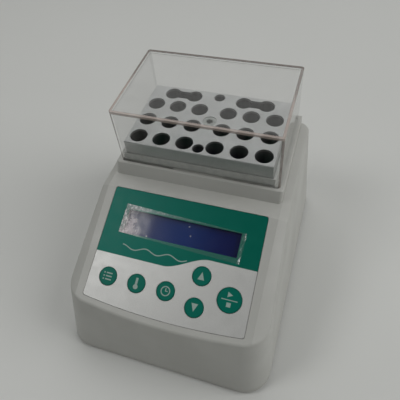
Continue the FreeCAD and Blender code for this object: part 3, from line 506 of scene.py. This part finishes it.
window, mirror = glazing("window_clear")
smear = window.speckle(0.01, 4.0).rise(0.45, 0.8)
window.set(Base_Color=window.blend(smear, (0.9, 0.9, 0.95), (0.8, 0.8, 0.8)))
window.set(Roughness=smear * 0.1 + 0.2, Metallic=1 - smear * 0.3)
window.set(Alpha=mirror * 0.9 + 0.01).on("display_window")

FILM_HALF_W = 38.6
FILM_HALF_H = 9.2
FILM_S = 20.05                    # its middle, down the panel
FILM_SKEW = math.radians(2.2)
FILM_REST = 0.05                  # height where it lies flat
FILM_CREASE = 0.42                # height of its creases where it has come loose
LOOSE_LEFT, LOOSE_RIGHT, LOOSE_TOP = 0.26, 0.06, 0.3
FILM_RAGGED = 0.18                # how far its edges wander
PAINTED_GLARE_X = (-35.0, -16.0)          # painted glare whitens it left of here, most of it in the lower half
PAINTED_GLARE_S = (12.0, 19.0)
STREAKED_LEFT = (-37.5, -30.5)    # its two ends are streaked
STREAKED_RIGHT = (36.4, 37.8)
TOP_GLARE_S = (11.6, 12.6)             # painted glare lies over the window's top edge, and thins to the right
TOP_GLARE_X = (-34.0, 20.0)
ACROSS, DOWN = 220, 56            # faces of the mesh each way


def film_lift(a, b):
    """Height of the film off the window: a and b run from -1 to 1 across and down it."""
    spot = Vector((a * FILM_HALF_W, b * FILM_HALF_H, 0))
    left = max(0.0, 1 - (a + 1) / LOOSE_LEFT)
    right = max(0.0, 1 - (1 - a) / LOOSE_RIGHT)
    top = max(0.0, 1 - (b + 1) / LOOSE_TOP) * 0.5
    loose = max(left, right, top * (0.4 + 0.6 * max(0, -a)))
    folds = 1 - abs(noise.noise(Vector((spot.x * 0.9, spot.y * 0.35 + spot.x * 0.2, 3.1)))) * 3
    crease = 1 - abs(noise.noise(Vector((spot.x * 0.5 + spot.y * 0.3, spot.y * 0.9, 7.7)))) * 4
    return FILM_REST + loose * FILM_CREASE * (max(0.0, folds) ** 2 + 0.8 * max(0.0, crease) ** 2)


sheet = bmesh.new()
rows = []
for j in range(DOWN + 1):
    b = 2 * j / DOWN - 1
    row = []
    for i in range(ACROSS + 1):
        a = 2 * i / ACROSS - 1
        ripple = FILM_RAGGED * noise.noise(Vector((a * 6, b * 9, 1.0)))
        across = a * FILM_HALF_W + (ripple if abs(a) == 1 else 0)
        down = b * FILM_HALF_H + (0.5 * ripple if abs(b) == 1 else 0)
        x = across * math.cos(FILM_SKEW) - down * math.sin(FILM_SKEW)
        s = FILM_S + down * math.cos(FILM_SKEW) + across * math.sin(FILM_SKEW)
        row.append(sheet.verts.new(panel_point(x, s, film_lift(a, b))))
    rows.append(row)
for upper, lower in zip(rows, rows[1:]):
    for i in range(ACROSS):
        sheet.faces.new((upper[i], lower[i], lower[i + 1], upper[i + 1])).smooth = True
film_mesh = bpy.data.meshes.new("creased_film")
sheet.to_mesh(film_mesh)
sheet.free()
film = bpy.data.objects.new("creased_film", film_mesh)
bpy.context.collection.objects.link(film)

wrap, mirror = glazing("film_clear")
x, y, z = wrap.millimetres()
s = down_panel(y, z)
cloud = wrap.speckle(0.005, 4.0).rise(0.3, 0.65, 0.45, 1.15)
# Painted glare: a mottled pale pink veil over the left of the film.
painted_glare = x.rise(*PAINTED_GLARE_X, 1.0, 0.0) * s.rise(*PAINTED_GLARE_S, 0.45, 1.0) * cloud
streaks = wrap.speckle(0.0014, 5.0, (1.0, 0.3, 0.3)).rise(0.5, 0.68)
ends = x.rise(*STREAKED_LEFT, 1.0, 0.0).most(x.rise(*STREAKED_RIGHT))
flecks = wrap.grains(150.0).rise(0.04, 0.09, 1.0, 0.0)
off_window = bar(x, s - FILM_S, WINDOW_HALF_W, WINDOW_HALF_H).rise(-0.1, 0.2)
# More painted glare, over the window's top edge, thinning to the right.
haze = s.rise(*TOP_GLARE_S, 1.0, 0.0) * x.rise(*TOP_GLARE_X, 1.0, 0.35) * cloud
veil = painted_glare * 0.48 + ends * streaks * 0.6 + flecks * 0.4 + off_window * 0.05 + haze * 0.2
wrap.set(Base_Color=wrap.blend(painted_glare, (0.75, 0.78, 0.78), (0.86, 0.78, 0.79)))
wrap.set(Roughness=0.26, Metallic=x.rise(-38, -10, 0.1, 0.4))
wrap.set(Alpha=(veil + mirror * 0.8 + 0.008).least(0.9))
film_mesh.materials.append(wrap.material)
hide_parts("display_film")
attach(film, "instrument")


# ---------------------------------------------------------------- aluminium block
# The tube block, sawn and milled from solid aluminium, drilled with tapered wells and bead-blasted
# before a clear anodise. A socket-head screw through the middle clamps it to the heater plate.
BLOCK_TOP = 96.5
BLOCK_MIDDLE_Y = 43.8
TURNING_Y = 44.2                  # the faint turning rings on the top run round the screw
WELL_REGION = (46.7, 28.5)        # half width and half depth of the part of the block that holds wells

block = Finish("block_aluminium")
x, y, z = block.millimetres()
blast = block.speckle(0.0004, 3.0)
cloud = block.speckle(0.012, 4.0)
on_top = z.rise(BLOCK_TOP - 0.3, BLOCK_TOP - 0.1)
rings = (disc(x, y - TURNING_Y, 0.0) * 7.0 + cloud * 2.0).wave().rise(-1, 1) * on_top
skin = blast * 0.6 + rings * 0.15 + cloud * 0.25
oxide = block.blend(skin.rise(0.3, 0.7), (0.53, 0.54, 0.53), (0.40, 0.41, 0.40))
among_wells = bar(x, y - BLOCK_MIDDLE_Y, *WELL_REGION).rise(-0.2, 0.0, 1.0, 0.0)
# Painted shade: the walls of the wells darken with depth from just under the top.
painted_well_shade = z.rise(BLOCK_TOP - 2.5, BLOCK_TOP - 0.2, 0.82, 0.0) * among_wells
block.set(Base_Color=block.blend(painted_well_shade, oxide, (0.07, 0.072, 0.07)))
block.set(Metallic=cloud.rise(0.2, 0.8, 0.75, 0.65), Roughness=skin.rise(0.3, 0.7, 0.38, 0.52))
block.relief(skin, 0.00004).on("heating_block")
dulled = machined("screw_dulled", (0.40, 0.42, 0.40), (0.31, 0.33, 0.31),
                  (1, 1, 0.1), 0.0004, 0.00001, (0.42, 0.58))
dulled.on("block_screw")


# ---------------------------------------------------------------- seat frame
# A light grey gasket frame round the block's foot, cast in silicone, that keeps the plinth cool and
# locates the cover. It is dull, with a slight dusty bloom.
gasket = Finish("seat_grey", Specular_IOR_Level=0.35)
bloom = gasket.speckle(0.004, 5.0)
pores = gasket.speckle(0.0005, 3.0)
gasket.set(Base_Color=gasket.blend(bloom.rise(0.35, 0.7), (0.56, 0.57, 0.545), (0.64, 0.65, 0.62)))
gasket.set(Roughness=bloom.rise(0.2, 0.8, 0.5, 0.7)).relief(pores, 0.00006).on("seat_frame")


# ---------------------------------------------------------------- clear cover
# A five-sided box moulded in clear acrylic, lifted off to load tubes. Its flat walls are only faintly
# smoky and finely scratched. Pink-brown painted edge light runs along the corners and the top rim,
# weaker on the back corners, and a pale painted highlight runs along the foot.
COVER_DRAFT = 0.6                 # the walls lean in this much from foot to top
CORNER_LINE = (1.5, 0.4)          # width and softness of each line
RIM_LINE = (1.6, 0.35)
FOOT_LINE = (0.7, 0.3)
SMOKE = (0.32, 0.32, 0.31)
# Colours of the painted edge light and of the painted foot highlight.
CORNER_EDGE_LIGHT_BROWN = (0.44, 0.36, 0.32)
RIM_EDGE_LIGHT_BROWN = (0.20, 0.165, 0.145)
FOOT_PAINTED_HIGHLIGHT = (0.60, 0.59, 0.56)

cover_low, cover_high = (corner * 1000 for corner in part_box("lid"))
cover_x = (cover_low.x + cover_high.x) / 2
cover_y = (cover_low.y + cover_high.y) / 2

acrylic, mirror = glazing("lid_clear")
smear = acrylic.speckle(0.01, 4.0).rise(0.45, 0.8)
x, y, z = acrylic.millimetres()
drawn_in = z.rise(cover_low.z, cover_high.z, 0.0, COVER_DRAFT)
to_side = cover_high.x - cover_x - drawn_in - abs(x - cover_x)
to_end = cover_high.y - cover_y - drawn_in - abs(y - cover_y)
to_top = cover_high.z - z
to_foot = z - cover_low.z
nearest = to_side.least(to_end)
farthest = to_side.most(to_end)
back = y.rise(cover_y - 10, cover_y + 10)
# Painted edge light: lines along the corners and the top rim, weaker on the back corners.
painted_corner_line = inside(farthest - CORNER_LINE[0], CORNER_LINE[1]) * (1 - back * 0.75)
painted_rim_line = inside(to_top.most(nearest) - RIM_LINE[0], RIM_LINE[1])
# Painted highlight: a pale line along the foot.
painted_foot_highlight = inside(to_foot - FOOT_LINE[0], FOOT_LINE[1])
painted_edge_glow = painted_corner_line.most(painted_rim_line).most(painted_foot_highlight * 0.25)
hairs = acrylic.speckle(0.0006, 4.0, (0.1, 1.0, 1.0)).rise(0.68, 0.8) * 0.05
wall = acrylic.blend(mirror, SMOKE, (0.9, 0.9, 0.9))
edge_light_colour = acrylic.blend(back.most(1 - painted_rim_line), CORNER_EDGE_LIGHT_BROWN, RIM_EDGE_LIGHT_BROWN)
edge_light_colour = acrylic.blend(painted_foot_highlight, edge_light_colour, FOOT_PAINTED_HIGHLIGHT)
acrylic.set(Base_Color=acrylic.blend(painted_edge_glow, wall, edge_light_colour), Metallic=1 - painted_edge_glow)
acrylic.set(Roughness=painted_edge_glow * 0.25 + smear * 0.05 + 0.02)
cover = mirror * 0.85 + 0.04 + inside(to_top - RIM_LINE[0]) * 0.04
acrylic.set(Alpha=cover.most(painted_edge_glow * 0.75) + hairs).on("lid")


# ---------------------------------------------------------------- back panel
# A round low-voltage inlet held by a hex nut, and a snap-in rocker switch, both black moulded plastic.
# The rocker is printed with a white bar for on and a ring for off.
BLACK = (0.016, 0.016, 0.017)
BLACK_SHADE = (0.03, 0.03, 0.031)
MARK_X = 3.6                      # the bar and the ring are this far from the rocker's middle
RING_R = 1.5
MARK_HALF_LINE = 0.22
BAR_HALF_H = 1.6

black = moulded("black_plastic", BLACK, BLACK_SHADE, 0.0004, 0.00003, (0.35, 0.5))
black.on("power_inlet", "switch_body")

rocker_low, rocker_high = (corner * 1000 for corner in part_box("switch_rocker"))
rocker_mid = (rocker_low + rocker_high) / 2
rocker = Finish("rocker_print")
x, y, z = rocker.millimetres()
u = x - rocker_mid.x
v = z - rocker_mid.z
ring = abs(disc(u - MARK_X, v, RING_R)) - MARK_HALF_LINE
stroke = bar(u + MARK_X, v, MARK_HALF_LINE, BAR_HALF_H)
marks = inside(ring.least(stroke), 0.06)
outward = y.rise(rocker_high.y - 2.6, rocker_high.y - 2.3)
fine = rocker.speckle(0.0004, 3.0)
gloss_black = rocker.blend(fine, (0.012, 0.012, 0.013), (0.025, 0.025, 0.026))
rocker.set(Base_Color=rocker.blend(marks * outward, gloss_black, (0.7, 0.7, 0.68)))
rocker.set(Roughness=fine.rise(0.3, 0.7, 0.2, 0.32)).relief(fine, 0.00001).on("switch_rocker")


# ---------------------------------------------------------------- bench, light and camera
# A pale satin bench top in a dim, even room, under three soft lights: a broad one high at the back, one on
# the right and a small one on the left. The camera looks steeply down from the front right.
BENCH_PALE = (0.69, 0.695, 0.67)
BENCH_SHADE = (0.645, 0.65, 0.625)
ROOM_COLOUR = (0.97, 1.0, 0.98, 1.0)
ROOM_LIGHT = 0.13
LIT_POINT = Vector((0, 0, 0.05))
FOCAL_LENGTH = 37.35
EYE = (0.06757, -0.14380, 0.27293)
EYE_TURN = (37.787, 4.480, 17.542)

bench_mesh = bpy.data.meshes.new("bench")
slab = bmesh.new()
bmesh.ops.create_grid(slab, x_segments=8, y_segments=8, size=4.0)
slab.to_mesh(bench_mesh)
slab.free()
bench = bpy.data.objects.new("bench", bench_mesh)
bpy.context.collection.objects.link(bench)
top = Finish("bench_top", Specular_IOR_Level=0.3)
cloud = top.speckle(0.2, 3.0)
top.set(Base_Color=top.blend(cloud, BENCH_PALE, BENCH_SHADE))
top.set(Roughness=cloud.rise(0.3, 0.7, 0.42, 0.5))
bench_mesh.materials.append(top.material)

room = bpy.data.worlds.new("room")
bpy.context.scene.world = room
room.use_nodes = True
room.node_tree.nodes["Background"].inputs["Color"].default_value = ROOM_COLOUR
room.node_tree.nodes["Background"].inputs["Strength"].default_value = ROOM_LIGHT


def softbox(name, at, width, depth, watts):
    """A rectangular soft light that faces the instrument."""
    lamp = bpy.data.lights.new(name, "AREA")
    lamp.shape = "RECTANGLE"
    lamp.size = width
    lamp.size_y = depth
    lamp.energy = watts
    holder = bpy.data.objects.new(name, lamp)
    holder.location = at
    holder.rotation_euler = (Vector(at) - LIT_POINT).to_track_quat("Z", "Y").to_euler()
    bpy.context.collection.objects.link(holder)


softbox("back_softbox", (-0.6, 1.5, 1.9), 2.2, 1.5, 12.0)
softbox("right_softbox", (1.5, 0.3, 1.2), 1.2, 1.6, 17.0)
softbox("left_softbox", (-0.80, -0.33, 1.2), 0.45, 0.55, 4.0)

lens = bpy.data.cameras.new("camera")
lens.sensor_width = 36.0
lens.lens = FOCAL_LENGTH
lens.clip_start = 0.005
camera = bpy.data.objects.new("camera", lens)
camera.location = EYE
camera.rotation_euler = Euler([math.radians(turn) for turn in EYE_TURN])
bpy.context.collection.objects.link(camera)
bpy.context.scene.camera = camera
bpy.context.scene.view_settings.view_transform = "Standard"
